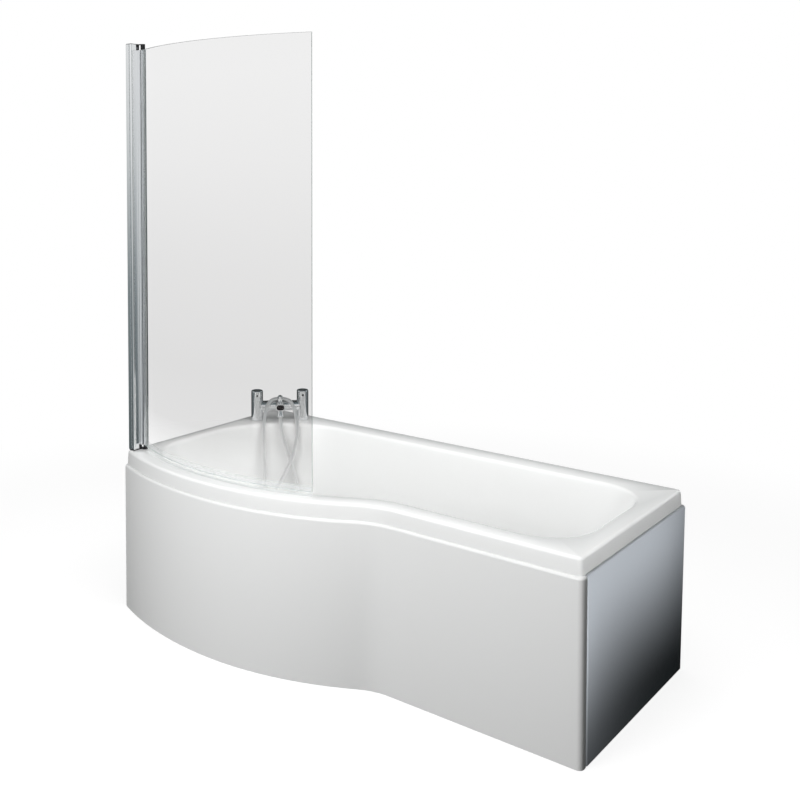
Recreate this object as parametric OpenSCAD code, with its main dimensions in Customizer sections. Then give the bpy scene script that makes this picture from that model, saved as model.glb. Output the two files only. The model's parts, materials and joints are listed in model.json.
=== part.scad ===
// B-shaped shower bath with panels, curved glass screen and deck-mounted bath shower mixer.
// The origin is on the floor, under the middle of the bath. +X points to the foot end, +Y to the wall behind.

/* [Bath] */
// Overall length from the shower-end wall to the foot end
bath_l = 1700; // [1600:10:1800]
// Width over the bulge at the shower end
bath_w = 900; // [860:5:940]
// Width of the straight foot end
foot_w = 735; // [700:5:760]
// Height of the deck above the floor
rim_z = 558; // [540:2:580]
// Thickness of the reinforced acrylic shell
shell_t = 6; // [5:0.5:8]
// Depth of the turned-down rim
rim_drop = 48; // [40:1:60]
// Radius of the rim's outer edge
rim_roll = 9; // [6:1:12]
// Amount the rim face leans out towards its lower edge
rim_draft = 2; // [1:0.5:3]
// Radius where the deck turns down into the basin
lip_roll = 14; // [10:1:16]
// Depth of the basin below the deck
basin_depth = 395; // [370:5:410]

/* [Front outline] */
// Distance from the shower-end wall to the widest point
peak_x = 470; // [440:5:500]
// Radius of the bulge from the wall to the widest point
arc_wall_r = 1235; // [1150:5:1350]
// Radius of the bulge from the widest point to the hollow
arc_foot_r = 1050; // [980:5:1150]
// Radius of the hollow that runs out into the straight front
blend_r = 200; // [160:5:260]
// Plan radius of the rim's corners
rim_corner_r = 14; // [13:1:18]
// How far the rim stands back from the panel face
rim_reveal = 8; // [6:1:10]

/* [Basin] */
// Deck width at the shower end
deck_shower = 57; // [50:1:65]
// Deck width along the front, from the panel face
deck_front = 82; // [76:1:90]
// Deck width along the back
deck_back = 95; // [88:1:100]
// Deck width at the foot end
deck_foot = 75; // [65:1:90]
// Radius of the basin corner behind the taps
basin_tap_r = 340; // [320:5:350]
// Radius of the basin corner by the screen
basin_screen_r = 200; // [180:5:220]
// Radius of the two basin corners at the foot end
basin_foot_r = 150; // [140:5:160]
// Distance the sides lean in from deck to floor
side_lean = 45; // [35:1:55]
// Distance the shower-end wall leans in
shower_lean = 35; // [25:1:45]
// Distance the backrest leans in
backrest_lean = 230; // [200:5:250]
// Width of the curve between walls and floor
floor_curve = 80; // [70:1:90]

/* [Panels] */
// Thickness of the panel sheet
panel_t = 4; // [3:0.5:5]
// Radius of the panels' top lip
panel_lip_r = 9; // [7:1:11]
// Depth of the flange that goes in under the rim
panel_flange = 22; // [18:1:24]
// Length of front panel that wraps the foot-end corner
panel_wrap = 26; // [25:1:32]
// Gap between the front panel's wrap and the end panel
panel_gap = 4; // [3:0.5:6]
// Distance the end panel's back edge leans in at the bottom
panel_lean = 25; // [15:1:35]

/* [Screen] */
// Distance from the wall to the pivot axis
hinge_x = 40; // [38:0.5:44]
// Distance from the wall to the furthest point of the glass arc
screen_peak_x = 477; // [460:1:500]
// Radius of the curved glass
screen_r = 1050; // [1000:5:1100]
// Distance from the panel face to the glass at its furthest point
screen_inset = 58; // [56:0.5:62]
// Distance from the wall to the free edge of the glass
screen_end_x = 834; // [760:2:860]
// Glass thickness
glass_t = 6; // [5:0.5:6]
// Height of the glass
glass_h = 1400; // [1380:1:1402]
// Height of the glass above the deck
glass_lift = 14; // [12:1:15]
// Running clearance of the bottom seal above the deck
seal_gap = 0.5; // [0.3:0.1:1]
// Depth of the wall channel
channel_d = 16; // [14:1:18]
// Width of channel and post
channel_w = 40; // [38:1:42]
// Wall thickness of the channel
channel_t = 1.8; // [1.5:0.1:2]
// Distance from the wall to the face of the post
post_d = 28; // [26:0.5:29]
// Distance from the middle of the post to the pivot axis
hinge_set = 24; // [23:0.5:25]
// Height of the column above the deck
channel_h = 1434; // [1432:1:1440]
// Radius of the channel's fixing holes
channel_hole_r = 2.75; // [2.5:0.25:3]
// Distance between the channel's fixing holes
channel_hole_gap = 600; // [500:10:650]
// Diameter of the hinge rail's round spine
spine_d = 13; // [12:0.5:13]
// Length of the rail's cheeks from the pivot axis
cheek_l = 19; // [18:0.5:21]
// Diameter of the pivot pins
pin_d = 6; // [5:0.5:7]

/* [Mixer] */
// Distance from the wall to the mixer's middle
mixer_x = 134; // [130:1:142]
// Distance from the back wall to the mixer's middle
mixer_back = 129; // [126:1:134]
// Angle of the mixer across the corner
mixer_angle = 43; // [41:1:45]
// Distance between the two pillars
pillar_gap = 180; // [178:1:184]
// Diameter of pillars and handles
pillar_d = 46; // [44:1:48]
// Height of a pillar above the deck
pillar_h = 78; // [76:1:82]
// Height of a handle
handle_h = 42; // [40:1:46]
// Diameter of the bridge between the pillars
bridge_d = 39.6; // [37:0.2:40]
// Height of the bridge's axis above the deck
bridge_z = 55.6; // [54:0.2:57]
// Width of the spout
spout_w = 36; // [34:1:38]
// Height of the spout
spout_h = 26; // [24:1:28]
// Height of the spout's axis above the deck
spout_z = 62; // [61:0.5:63]
// Length of the spout from the bridge axis
spout_l = 68; // [66:1:72]
// Diameter of the diverter knob
knob_d = 19; // [17:1:20]
// Height of the diverter knob
knob_h = 27.5; // [24:0.5:30]
// Diameter of the inlet tails below the deck
tail_d = 26.4; // [25:0.2:27]
// Length of the inlet tails below the deck
tail_l = 62; // [55:1:70]
// Diameter of the shower hose
hose_d = 14; // [13:0.5:14]
// Length of the hose nut
hose_nut_l = 24; // [22:1:26]

/* [Waste] */
// Distance from the wall to the waste
waste_x = 250; // [240:2:260]
// Distance from the back wall to the waste
waste_back = 470; // [460:2:480]
// Diameter of the waste flange
waste_d = 70; // [66:1:74]
// Diameter of the waste hole in the floor
waste_hole_d = 52; // [50:1:54]
// Diameter of the trap outlet
outlet_d = 40; // [38:1:42]

/* [Cradles] */
// Thickness of the baseboard
board_t = 15; // [12:1:18]
// Width of a cradle channel
cradle_w = 40; // [36:2:44]
// Height of a cradle channel
cradle_h = 25; // [20:1:30]
// Sheet thickness of a cradle channel
cradle_t = 2; // [1.5:0.5:3]
// Length of a cradle channel
cradle_l = 520; // [500:5:530]
// Diameter of the leg studs
stud_d = 12; // [10:1:12]
// Diameter of the foot pads
pad_d = 50; // [44:2:56]

/* [Hidden] */
$fn = 64;

// Fits
panel_top_gap = 0.5;
slip = 0.3;
pin_gap = 0.05;
step = 0.6;
eps = 0.01;

// Planes and centres of the plan
wall_x = -bath_l / 2;
foot_x = bath_l / 2;
back_y = bath_w / 2;
face_y = back_y - foot_w;
front_y = -bath_w / 2;
arc_wall_c = [wall_x + peak_x, front_y + arc_wall_r];
arc_foot_c = [wall_x + peak_x, front_y + arc_foot_r];
blend_cy = face_y - blend_r;
blend_dx = sqrt(pow(arc_foot_r + blend_r, 2) - pow(arc_foot_c[1] - blend_cy, 2));
blend_c = [arc_foot_c[0] + blend_dx, blend_cy];
blend_a = atan2(blend_cy - arc_foot_c[1], blend_dx);

// Levels
rim_bottom = rim_z - rim_drop;
panel_h = rim_bottom - panel_top_gap;
floor_z = rim_z - basin_depth;
board_z = floor_z - shell_t - board_t;
cradle_z = board_z - cradle_h;
round_share = 0.3;
round_h = round_share * (basin_depth - lip_roll);
basin_r = [basin_screen_r, basin_foot_r, basin_foot_r, basin_tap_r];
rim_r = rim_corner_r * [1, 1, 1, 1];

function arc_points(c, r, a0, a1, n) =
    [for (i = [0 : n - 1]) let (a = a0 + (a1 - a0) * i / n) [c[0] + r * cos(a), c[1] + r * sin(a)]];

function line_points(p, q, n) = [for (i = [0 : n - 1]) p + (q - p) * i / n];

// One closed outline: straight shower end, bulge, hollow, straight front, foot end and back.
// Insets run from the wall, foot, panel-face and back planes; r holds the four corner radii.
function outline(shower, foot, front, back, r) =
    let (
        x0 = wall_x + shower,
        x1 = foot_x - foot,
        y0 = face_y + front,
        y1 = back_y - back,
        ra = arc_wall_r - front,
        rb = arc_foot_r - front,
        rc = blend_r + front,
        c1x = x0 + r[0],
        c1y = arc_wall_c[1] - sqrt(pow(ra - r[0], 2) - pow(c1x - arc_wall_c[0], 2)),
        a1 = atan2(c1y - arc_wall_c[1], c1x - arc_wall_c[0])
    )
    concat(
        arc_points([c1x, c1y], r[0], -180, a1, 7),
        arc_points(arc_wall_c, ra, a1, -90, 10),
        arc_points(arc_foot_c, rb, -90, blend_a, 12),
        arc_points(blend_c, rc, blend_a + 180, 90, 7),
        line_points([blend_c[0], y0], [x1 - r[1], y0], 3),
        arc_points([x1 - r[1], y0 + r[1]], r[1], -90, 0, 7),
        line_points([x1, y0 + r[1]], [x1, y1 - r[2]], 2),
        arc_points([x1 - r[2], y1 - r[2]], r[2], 0, 90, 7),
        line_points([x1 - r[2], y1], [x0 + r[3], y1], 6),
        arc_points([x0 + r[3], y1 - r[3]], r[3], 90, 180, 12),
        line_points([x0, y1 - r[3]], [x0, c1y], 2)
    );

function lift(points, z) = [for (p = points) [p[0], p[1], z]];

// Rim outline moved in by e
function rim_ring(e, z) =
    lift(outline(e, rim_reveal + e, rim_reveal + e, e, rim_r - e * [1, 1, 1, 1] * 0.9), z);

// Basin outline moved in by e all round and by the lean of each wall times w
function basin_ring(e, w, z) =
    lift(outline(deck_shower + e + shower_lean * w, deck_foot + e + backrest_lean * w,
                 deck_front + e + side_lean * w, deck_back + e + side_lean * w,
                 basin_r - e * [1, 1, 1, 1]), z);

// Basin wall from lip to floor, d is the distance outside the inner skin
function wall_rings(d) = concat(
    [for (b = [0 : 30 : 90]) basin_ring((lip_roll - d) * sin(b) - lip_roll, 0,
                                       rim_z - lip_roll + (lip_roll - d) * cos(b))],
    [basin_ring(-d, (1 - round_share) / 2, rim_z - lip_roll - (basin_depth - lip_roll - round_h) / 2)],
    [for (i = [0 : 6]) let (t = i / 6, s = 1 - t)
        basin_ring(-d * s + floor_curve * t * t, s * s * (1 - round_share) + 2 * s * t + t * t,
                   floor_z + round_h * s * s - d * t)]
);

function shell_rings() = concat(
    [rim_ring(0, rim_bottom)],
    [for (b = [0 : 30 : 90])
        rim_ring(rim_draft + rim_roll * (1 - cos(b)), rim_z - rim_roll + rim_roll * sin(b))],
    wall_rings(0)
);

function skin_rings() = concat(
    [rim_ring(shell_t, rim_bottom), rim_ring(shell_t + rim_draft, rim_z - shell_t)],
    wall_rings(shell_t)
);

// Skin through stacked rings of equal count, from the first ring round to the last
function skin_faces(rings, n) = [for (k = [0 : rings - 2], i = [0 : n - 1])
    let (j = (i + 1) % n, a = k * n + i, b = k * n + j, c = (k + 1) * n + j, d = (k + 1) * n + i)
    each [[a, b, c], [a, c, d]]];

module bath_skin() {
    top = shell_rings();
    low = skin_rings();
    n = len(top[0]);
    rings = [for (k = [len(low) - 1 : -1 : 0]) low[k]];
    all_rings = concat(rings, top);
    m = len(all_rings);
    points = [for (r = all_rings, p = r) p];
    base = [for (i = [n - 1 : -1 : 0]) i];
    well = [for (i = [0 : n - 1]) (m - 1) * n + i];
    polyhedron(points, concat([for (f = skin_faces(m, n)) f], [base], [well]), convexity = 6);
}

// Plan helper: bath corner at the wall and the back
module from_wall(x, back, z) translate([wall_x + x, back_y - back, z]) children();

module bath_shell() {
    color("white") difference() {
        bath_skin();
        for (side = [-1, 1])
            at_mixer() translate([side * pillar_gap / 2, 0, -40]) cylinder(d = tail_d + 3, h = 60);
        from_wall(waste_x, waste_back, floor_z - 40) cylinder(d = waste_hole_d, h = 80);
    }
}

board_x0 = 190;
board_x1 = 1300;
board_front = 520;
board_back = 230;

module baseboard() {
    r = 40;
    x0 = wall_x + board_x0 + r;
    x1 = wall_x + board_x1 - r;
    y0 = back_y - board_front + r;
    y1 = back_y - board_back - r;
    color("tan") difference() {
        translate([0, 0, board_z]) linear_extrude(board_t) difference() {
            union() {
                translate([x0 - r, y0]) square([x1 - x0 + 2 * r, y1 - y0]);
                translate([x0, y0 - r]) square([x1 - x0, y1 - y0 + 2 * r]);
                for (x = [x0, x1], y = [y0, y1]) translate([x, y]) circle(r);
            }
            translate([wall_x + waste_x, back_y - waste_back]) circle(d = waste_d + 40);
        }
        at_screws(board_z - 1) cylinder(r = screw_r, h = screw_in + 1);
    }
}

batten_t = 18;
batten_w = 44;
batten_set = 8;
back_batten_x = 520;
back_batten_l = 900;
front_batten_l = 420;
foot_batten_l = 430;
foot_batten_w = deck_foot - rim_reveal - shell_t - batten_set - lip_roll - 3;

// Battens bonded under the deck, clear of the rim and of the basin
module rim_battens() {
    z = rim_z - shell_t - batten_t;
    set_in = rim_reveal + shell_t + batten_set;
    color("burlywood") {
        from_wall(back_batten_x, 3 * batten_set + batten_w, z) cube([back_batten_l, batten_w, batten_t]);
        translate([blend_c[0] + 40, face_y + set_in, z]) cube([front_batten_l, batten_w, batten_t]);
        translate([foot_x - set_in - foot_batten_w, face_y + basin_foot_r, z])
            cube([foot_batten_w, foot_batten_l, batten_t]);
    }
}

cradle_xs = [390, 760, 1140];
cradle_cy = back_y - (board_front + board_back) / 2;
leg_y = cradle_l / 2 - 25;

// Steel channel, open below, with stud holes at its ends and screw holes on its line
module cradle(i) {
    color("silver") translate([wall_x + cradle_xs[i], cradle_cy, cradle_z]) difference() {
        translate([-cradle_w / 2, -cradle_l / 2, 0]) cube([cradle_w, cradle_l, cradle_h]);
        translate([-cradle_w / 2 + cradle_t, -cradle_l / 2 - 1, -1])
            cube([cradle_w - 2 * cradle_t, cradle_l + 2, cradle_h - cradle_t + 1]);
        for (y = [-leg_y, leg_y]) translate([0, y, 0]) cylinder(d = stud_d + 1, h = cradle_h + 1);
        for (y = [-screw_y, screw_y]) translate([0, y, 0]) cylinder(r = screw_r + 0.5, h = cradle_h + 1);
    }
}

module cradle_shower() cradle(0);
module cradle_middle() cradle(1);
module cradle_foot() cradle(2);

module at_legs() {
    for (x = cradle_xs, y = [-leg_y, leg_y]) translate([wall_x + x, cradle_cy + y, 0]) children();
}

pad_h = 14;
stud_foot = 6;
nut_h = 9;

module leg_studs() {
    color("gainsboro") at_legs() translate([0, 0, stud_foot])
        cylinder(d = stud_d, h = cradle_z + cradle_h + 8);
}

module leg_nuts() {
    color("darkgray") at_legs() for (z = [cradle_z + cradle_h - cradle_t - nut_h, cradle_z + cradle_h])
        translate([0, 0, z]) difference() {
            cylinder(d = stud_d * 1.75, h = nut_h, $fn = 6);
            translate([0, 0, -1]) cylinder(d = stud_d + 0.1, h = nut_h + 2);
        }
}

module leg_pads() {
    color("dimgray") at_legs() rotate_extrude() difference() {
        union() {
            square([pad_d / 2, 5]);
            polygon([[0, 5], [pad_d / 2 - 3, 5], [stud_d / 2 + 5, pad_h], [0, pad_h]]);
        }
        translate([0, stud_foot]) square([stud_d / 2 + 0.05, pad_h]);
    }
}

screw_r = 2;
screw_in = 12;
screw_y = 100;

module at_screws(z) {
    for (x = cradle_xs, y = [-screw_y, screw_y]) translate([wall_x + x, cradle_cy + y, z]) children();
}

module cradle_screws() {
    color("gray") at_screws(board_z - cradle_t) {
        translate([0, 0, -3]) cylinder(d = 9, h = 3);
        cylinder(r = screw_r, h = cradle_t + screw_in);
    }
}

bracket_xs = [620, 1250];
bracket_w = 40;
bracket_t = 2;
bracket_l = 70;
bracket_hole_r = 3;
bracket_holes = [25, 50];

// Steel brackets screwed to the wall, hooked up behind the turned-down rim
module wall_brackets() {
    t = bracket_t;
    hook_y = shell_t + rim_draft + t;
    hook_z = rim_drop - shell_t - 3 * t;
    profile = [
        [0, -bracket_l], [t, -bracket_l], [t, -t], [hook_y + t, -t], [hook_y + t, hook_z],
        [hook_y, hook_z], [hook_y, 0], [0, 0]
    ];
    color("silver") for (x = bracket_xs) from_wall(x, 0, rim_bottom) difference() {
        rotate([90, 0, -90]) linear_extrude(bracket_w, center = true) polygon(profile);
        for (z = bracket_holes) translate([0, 1, -z]) rotate([90, 0, 0])
            cylinder(r = bracket_hole_r, h = 2 * t + 2);
    }
}

// Path of the front panel at inset e: bulge, hollow, straight front, corner and wrap
function front_path(e) =
    let (
        r = max(rim_corner_r + 2 - e, 0.5),
        x1 = foot_x - e - r,
        y0 = face_y + e,
        start = -acos(-peak_x / (arc_wall_r - e))
    )
    concat(
        arc_points(arc_wall_c, arc_wall_r - e, start, -90, 11),
        arc_points(arc_foot_c, arc_foot_r - e, -90, blend_a, 12),
        arc_points(blend_c, blend_r + e, blend_a + 180, 90, 7),
        line_points([blend_c[0], y0], [x1, y0], 3),
        arc_points([x1, y0 + r], r, -90, 0, 7),
        [[foot_x - e, y0 + r], [foot_x - e, face_y + panel_wrap]]
    );

// Section of a panel as [inset, height]: sheet, rounded lip and flange
panel_outer = [for (b = [0 : 18 : 90])
    [panel_lip_r * (1 - cos(b)), panel_h - panel_lip_r * (1 - sin(b))]];
panel_inner = [for (b = [90 : -18 : 0]) let (r = panel_lip_r - panel_t)
    [panel_lip_r - r * cos(b), panel_h - panel_lip_r + r * sin(b)]];
panel_section = concat([[0, 0]], panel_outer, [[panel_flange, panel_h], [panel_flange, panel_h - panel_t]],
                       panel_inner, [[panel_t, 0]]);

module front_panel() {
    n = len(panel_section);
    paths = [for (p = panel_section) front_path(p[0])];
    m = len(paths[0]);
    points = [for (k = [0 : m - 1], j = [0 : n - 1]) [paths[j][k][0], paths[j][k][1], panel_section[j][1]]];
    first = [for (j = [n - 1 : -1 : 0]) j];
    last = [for (j = [0 : n - 1]) (m - 1) * n + j];
    color("white") polyhedron(points, concat(skin_faces(m, n), [first], [last]), convexity = 6);
}

module end_panel() {
    y0 = face_y + panel_wrap + panel_gap;
    len_y = back_y - y0;
    r = 8;
    color("white") intersection() {
        union() {
            translate([foot_x, y0, 0]) rotate([90, 0, 180]) linear_extrude(len_y) polygon(panel_section);
            translate([foot_x - panel_flange, y0, 0]) cube([panel_flange, panel_t, panel_h - panel_t]);
        }
        linear_extrude(panel_h) union() {
            translate([foot_x - panel_flange, y0 + r]) square([panel_flange, len_y - r]);
            translate([foot_x - panel_flange, y0]) square([panel_flange - r, len_y]);
            translate([foot_x - r, y0 + r]) circle(r);
        }
        translate([foot_x + 1, 0, 0]) rotate([90, 0, -90]) linear_extrude(panel_flange + 2)
            polygon([[-back_y, panel_h], [-y0, panel_h], [-y0, 0], [panel_lean - back_y, 0]]);
    }
}

floor_batten = [30, 38];
front_floor_l = 480;
foot_floor_l = 560;

// Battens on the floor that the panels are fixed to
module panel_battens() {
    w = floor_batten[0];
    h = floor_batten[1];
    color("burlywood") {
        translate([blend_c[0] + 20, face_y + panel_t, 0]) cube([front_floor_l, w, h]);
        translate([foot_x - panel_t - w, face_y + 2 * w, 0]) cube([w, foot_floor_l, h]);
    }
}

// Waste and trap
module at_waste(z) from_wall(waste_x, waste_back, z) children();

flange_t = 3;
tube_r = waste_hole_d / 2 - 2;
seal_t = 2;
stem_r = 5;

module waste_flange() {
    color("silver") at_waste(floor_z) rotate_extrude() difference() {
        union() {
            translate([waste_hole_d / 2 - 5, 0]) square([waste_d / 2 - waste_hole_d / 2 + 2, flange_t]);
            translate([waste_d / 2 - 3, 0]) intersection() {
                circle(flange_t);
                square(flange_t);
            }
            translate([tube_r - 3, -shell_t - 30]) square([3, shell_t + 30 + flange_t]);
        }
        translate([0, -200]) square([tube_r - 3, 400]);
    }
}

module waste_seal() {
    color("dimgray") at_waste(floor_z - shell_t - seal_t) difference() {
        cylinder(d = waste_d, h = seal_t);
        translate([0, 0, -1]) cylinder(r = tube_r + 0.05, h = seal_t + 2);
    }
}

module waste_nut() {
    h = 10;
    color("whitesmoke") at_waste(floor_z - shell_t - seal_t - h) difference() {
        cylinder(d = waste_d, h = h, $fn = 8);
        translate([0, 0, -1]) cylinder(r = tube_r + 0.05, h = h + 2);
    }
}

body_z = floor_z - 83;
body_h = 52;
neck_r = 17.9;

// Cup screwed on the flange tube, with a spider that guides the plug stem and a neck for the trap
module waste_body() {
    color("whitesmoke") at_waste(body_z) difference() {
        union() {
            rotate_extrude() polygon([
                [14, 0], [neck_r, 0], [neck_r, 20], [24, 24], [27, 28], [27, body_h],
                [tube_r + pin_gap, body_h], [tube_r + pin_gap, 38], [21, 38], [21, 26], [14, 21]
            ]);
            for (a = [0, 90]) rotate(a) translate([-22, -2, 28]) cube([44, 4, 7]);
            translate([0, 0, 28]) cylinder(r = 9, h = 7);
        }
        cylinder(r = stem_r + pin_gap, h = body_h);
    }
}

module waste_plug() {
    r = waste_hole_d / 2 + 4;
    color("silver") at_waste(floor_z + flange_t + 0.4) rotate_extrude() union() {
        square([r - 2, 4]);
        translate([r - 2, 2]) circle(2);
        translate([0, -6]) square([6, 6]);
    }
}

module plug_stem() {
    z0 = body_z + 16;
    color("gray") at_waste(z0) cylinder(r = stem_r, h = floor_z + flange_t + 0.4 - 6 - z0);
}

trap_top = body_z + 8;
trap_r = 42;
trap_foot = 12;
trap_t = 3;
trap_neck_r = 21;
outlet_z = trap_top - 50;
outlet_l = 110;
collar_l = 48;

module trap_nut() {
    h = 16;
    color("whitesmoke") at_waste(trap_top - h) difference() {
        cylinder(d = 56, h = h, $fn = 12);
        translate([0, 0, -1]) cylinder(r = trap_neck_r + 0.5, h = h + 2);
    }
}

// Shallow bottle with a neck for the waste body and an outlet that leaves through a collar
module trap_body() {
    color("whitesmoke") at_waste(0) difference() {
        union() {
            translate([0, 0, trap_foot]) cylinder(r = trap_r, h = trap_top - 34);
            translate([0, 0, trap_top - 24]) cylinder(r = trap_neck_r, h = 24);
            translate([0, 0, outlet_z]) rotate([-90, 0, 0]) cylinder(d = outlet_d + 6, h = collar_l);
            translate([0, 0, outlet_z]) rotate([-90, 0, 0]) cylinder(d = outlet_d, h = outlet_l);
        }
        translate([0, 0, outlet_z]) rotate([-90, 0, 0]) cylinder(d = outlet_d - 5, h = outlet_l + 10);
        translate([0, 0, trap_foot + trap_t]) cylinder(r = trap_r - trap_t, h = trap_top - 40);
        translate([0, 0, trap_top - 40]) cylinder(r = neck_r + pin_gap, h = 60);
    }
}

// Mixer frame: x along the bridge, -y towards the bath, z up from the deck
module at_mixer() from_wall(mixer_x, mixer_back, rim_z) rotate(mixer_angle) children();

gasket_t = 1;
tube_bore = pillar_d / 2 - 8;
cartridge_h = 28;
knob_y = -26;
outlet_y = -57;
outlet_tilt = 15;
outlet_r = 8;
outlet_in = 12.5;
insert_d = 8;
spout_t = 3;
rod_r = 3;

// Rounded bar section from x0 to x1, centred on y
module bar_outline(x0, x1, w, r) {
    translate([x0 + r, -w / 2]) square([x1 - x0 - 2 * r, w]);
    translate([x0, r - w / 2]) square([x1 - x0, w - 2 * r]);
    for (x = [x0 + r, x1 - r], y = [r - w / 2, w / 2 - r]) translate([x, y]) circle(r);
}

// Spout section reduced by e all round
module spout_section(e) {
    bar_outline(e - spout_w / 2, spout_w / 2 - e, spout_h - 2 * e, spout_h / 2 - e - 0.5);
}

module mixer_body() {
    x = pillar_gap / 2;
    color("silver") at_mixer() difference() {
        union() {
            translate([-x, 0, bridge_z]) rotate([0, 90, 0]) cylinder(d = bridge_d, h = 2 * x);
            translate([0, 0, spout_z]) rotate([90, 0, 0]) linear_extrude(spout_l) spout_section(0);
        }
        for (side = [-1, 1]) translate([side * x, 0, 0]) cylinder(d = pillar_d + 0.2, h = pillar_h + 50);
        translate([0, -spout_l + insert_d, spout_z]) rotate([90, 0, 0])
            linear_extrude(insert_d + 1) spout_section(spout_t);
        translate([0, knob_y, spout_z]) cylinder(r = rod_r + pin_gap, h = spout_h);
        translate([0, outlet_y, spout_z]) rotate([-outlet_tilt, 0, 0])
            translate([0, 0, -spout_h]) cylinder(r = outlet_r + 0.1, h = spout_h - outlet_in);
    }
}

// Pillar with a threaded tail bore below and a seat for the cartridge above
module pillar(side) {
    color("silver") at_mixer() translate([side * pillar_gap / 2, 0, gasket_t]) rotate_extrude() difference() {
        union() {
            square([pillar_d / 2, pillar_h - gasket_t - 1]);
            translate([0, pillar_h - gasket_t - 1]) square([pillar_d / 2 - 1, 1]);
        }
        translate([0, pillar_h - gasket_t - cartridge_h]) square([tube_bore, cartridge_h + 1]);
        translate([0, -1]) square([tail_bore_r + 1, 30]);
        translate([0, -1]) square([tail_d / 2 + pin_gap, 13]);
    }
}

module pillar_left() pillar(-1);
module pillar_right() pillar(1);

module at_pillars() for (side = [-1, 1]) at_mixer() translate([side * pillar_gap / 2, 0, 0]) children();

module pillar_gaskets() {
    color("dimgray") at_pillars() difference() {
        cylinder(d = pillar_d - 1, h = gasket_t);
        translate([0, 0, -1]) cylinder(d = tail_d + 3, h = gasket_t + 2);
    }
}

tail_bore_r = 8;
tail_in = 11.9;
washer_d = 40;
washer_t = 2;
deck_nut_d = 38;
deck_nut_h = 8;
relief_w = 2;
relief_t = 0.8;
deck_nut_z = -shell_t - washer_t - deck_nut_h;

// Threaded tails; a relief groove under the nut parts its thread from the supply connector's
module inlet_tails() {
    color("goldenrod") at_pillars() difference() {
        translate([0, 0, -tail_l]) cylinder(d = tail_d, h = tail_l + gasket_t + tail_in);
        translate([0, 0, -tail_l - 1]) cylinder(r = tail_bore_r, h = tail_l + gasket_t + tail_in + 2);
        translate([0, 0, deck_nut_z - relief_w]) difference() {
            cylinder(d = tail_d + 2, h = relief_w);
            translate([0, 0, -1]) cylinder(d = tail_d - 2 * relief_t, h = relief_w + 2);
        }
    }
}

module deck_washers() {
    color("dimgray") at_pillars() translate([0, 0, -shell_t - washer_t]) difference() {
        cylinder(d = washer_d, h = washer_t);
        translate([0, 0, -1]) cylinder(d = tail_d + 2 * pin_gap, h = washer_t + 2);
    }
}

module deck_nuts() {
    color("goldenrod") at_pillars() translate([0, 0, deck_nut_z]) difference() {
        cylinder(d = deck_nut_d, h = deck_nut_h, $fn = 6);
        translate([0, 0, -1]) cylinder(d = tail_d + 2 * pin_gap, h = deck_nut_h + 2);
    }
}

spindle_r = 4;

module cartridge(side) {
    color("goldenrod") at_mixer() translate([side * pillar_gap / 2, 0, pillar_h - cartridge_h])
        rotate_extrude() difference() {
            square([tube_bore - 0.1, cartridge_h - 1]);
            translate([0, 4]) square([spindle_r + pin_gap, cartridge_h]);
        }
}

module cartridge_left() cartridge(-1);
module cartridge_right() cartridge(1);

module spindle(side) {
    color("gainsboro") at_mixer() translate([side * pillar_gap / 2, 0, pillar_h - cartridge_h + 4.3])
        cylinder(r = spindle_r, h = cartridge_h + 16);
}

module spindle_left() spindle(-1);
module spindle_right() spindle(1);

index_z = 21;
index_r = 4;

// Handle: plain cylinder with a rounded, slightly domed top, hollow below
module handle(side) {
    r = pillar_d / 2;
    edge = 5;
    dome = 2.5;
    dome_r = (pow(r - edge, 2) + dome * dome) / (2 * dome);
    color("silver") at_mixer() translate([side * pillar_gap / 2, 0, pillar_h + step]) difference() {
        rotate_extrude() difference() {
            union() {
                square([r, handle_h - dome - edge]);
                translate([r - edge, handle_h - dome - edge]) circle(edge);
                square([r - edge, handle_h - dome]);
                intersection() {
                    translate([0, handle_h - dome_r]) circle(dome_r);
                    translate([0, handle_h - dome - 1]) square([r - edge, dome + 1]);
                }
                translate([0, 0]) square([1, 1]);
            }
            translate([-2 * dome_r, -dome_r]) square([2 * dome_r, 3 * dome_r]);
            translate([0, -1]) square([r - 3, 11]);
            translate([0, 0]) square([spindle_r, 20.3]);
        }
        translate([0, -r - 1, index_z]) rotate([-90, 0, 0]) cylinder(r = index_r, h = 3);
    }
}

module handle_left() handle(-1);
module handle_right() handle(1);

module index(side) {
    color("black") at_mixer() translate([side * pillar_gap / 2, 0, pillar_h + step + index_z])
    intersection() {
        translate([0, -pillar_d / 2 - 0.5, 0]) rotate([-90, 0, 0]) cylinder(r = index_r - 0.05, h = 2.5);
        cylinder(d = pillar_d + 0.2, h = 20, center = true);
    }
}

module index_left() index(-1);
module index_right() index(1);

knob_z = spout_z + spout_h / 2 + slip;

module diverter_knob() {
    r = knob_d / 2;
    color("silver") at_mixer() translate([0, knob_y, knob_z]) rotate_extrude() difference() {
        union() {
            polygon([[0, 0], [r - 3, 0], [r - 1, 2], [r, 8], [r, knob_h - 5], [0, knob_h - 5]]);
            intersection() {
                translate([0, knob_h - r]) circle(r);
                translate([0, knob_h - 5 - eps]) square([r, 6]);
            }
        }
        translate([0, -1]) square([rod_r, 11]);
    }
}

module diverter_rod() {
    color("gainsboro") at_mixer() translate([0, knob_y, spout_z + 2])
        cylinder(r = rod_r, h = knob_z + 8 - spout_z);
}

module spout_insert() {
    color("black") at_mixer() translate([0, insert_d - spout_l, spout_z]) rotate([90, 0, 0]) difference() {
        linear_extrude(insert_d - 1) spout_section(spout_t + 0.05);
        translate([0, 0, insert_d - 3]) linear_extrude(4) spout_section(spout_t + 2);
        for (x = [-8, 0, 8], y = [-3, 3]) translate([x, y, -1]) cylinder(r = 1.5, h = insert_d, $fn = 16);
    }
}

module at_outlet() at_mixer() translate([0, outlet_y, spout_z]) rotate([-outlet_tilt, 0, 0]) children();

outlet_drop = spout_h / 2 + 2;

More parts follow.
